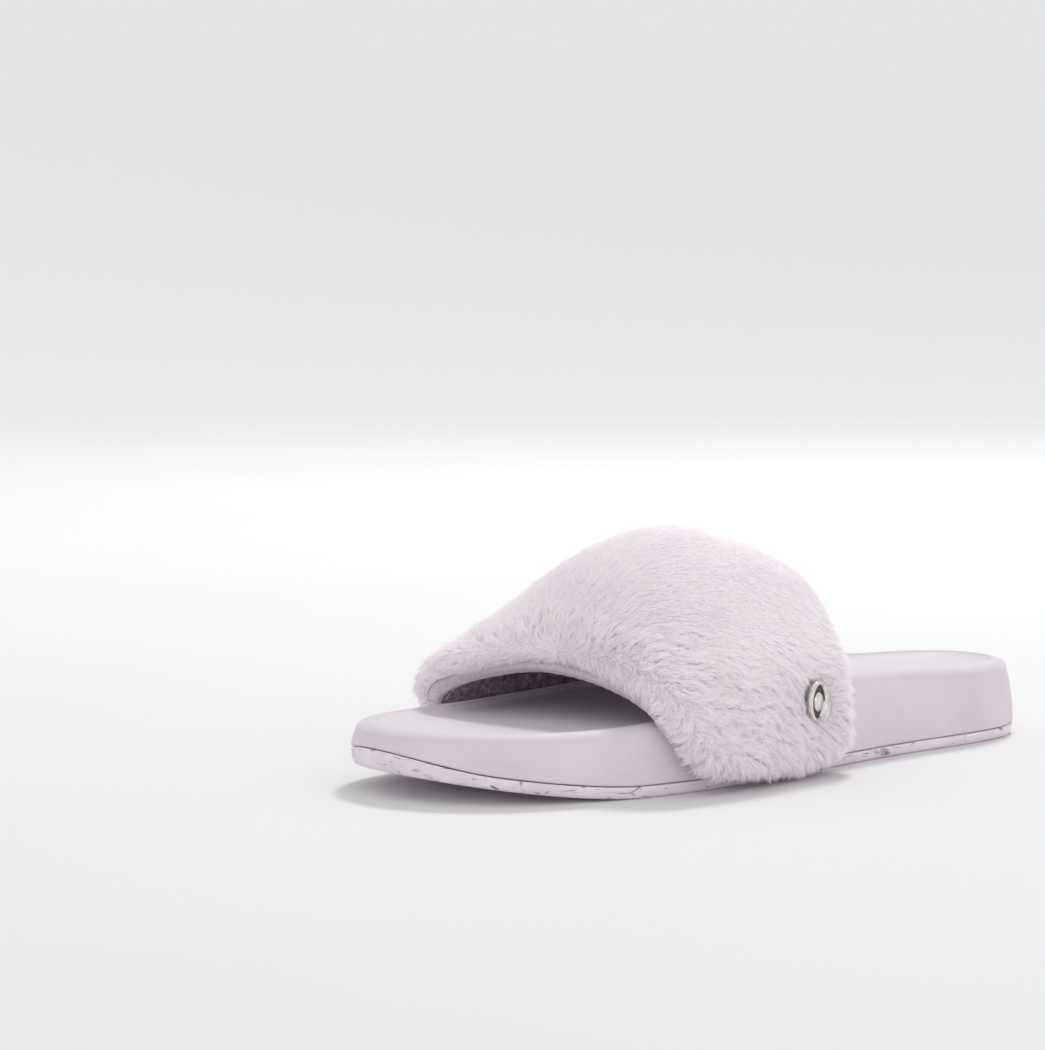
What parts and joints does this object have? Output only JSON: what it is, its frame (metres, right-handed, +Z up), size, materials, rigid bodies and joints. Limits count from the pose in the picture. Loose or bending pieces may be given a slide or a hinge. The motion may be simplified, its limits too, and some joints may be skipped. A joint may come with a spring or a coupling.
{
  "type": "fluffy slide slipper",
  "caption": "Open-toed, open-backed house slipper for the left foot, with a padded faux-fur strap over a thick foam sole.",
  "frame": {"origin": "on the floor under the middle of the slipper's own box", "axes": "+Z up, +Y from the toe to the heel, +X towards the outer side of the left foot"},
  "size_m": [0.1155, 0.2698, 0.0811],
  "materials": {
    "outsole_rubber": "matte, pale lilac with darker flecks",
    "midsole_foam": "smooth matte moulded foam",
    "footbed_foam": "matte foam",
    "footbed_skin": "smooth matte",
    "lining_cloth": "napped dark lining",
    "padding_foam": "open-cell foam",
    "backing_knit": "knitted backing",
    "pile": "dense soft faux-fur pile",
    "binding_tape": "fine heathered tape",
    "thread": "spun thread",
    "badge_metal": "polished nickel",
    "plate_metal": "plain steel"
  },
  "bodies": {
    "root": {"outsole": "outsole_rubber", "midsole": "midsole_foam", "footbed": "footbed_foam", "footbed_cover": "footbed_skin", "strap_lining": "lining_cloth", "strap_padding": "padding_foam", "strap_backing": "backing_knit", "fur_pile": "pile", "front_binding": "binding_tape", "rear_binding": "binding_tape", "front_stitching": "thread", "rear_stitching": "thread", "lateral_lasting": "backing_knit", "medial_lasting": "backing_knit", "badge": "badge_metal", "badge_backing_plate": "plate_metal"}
  },
  "joints": []
}
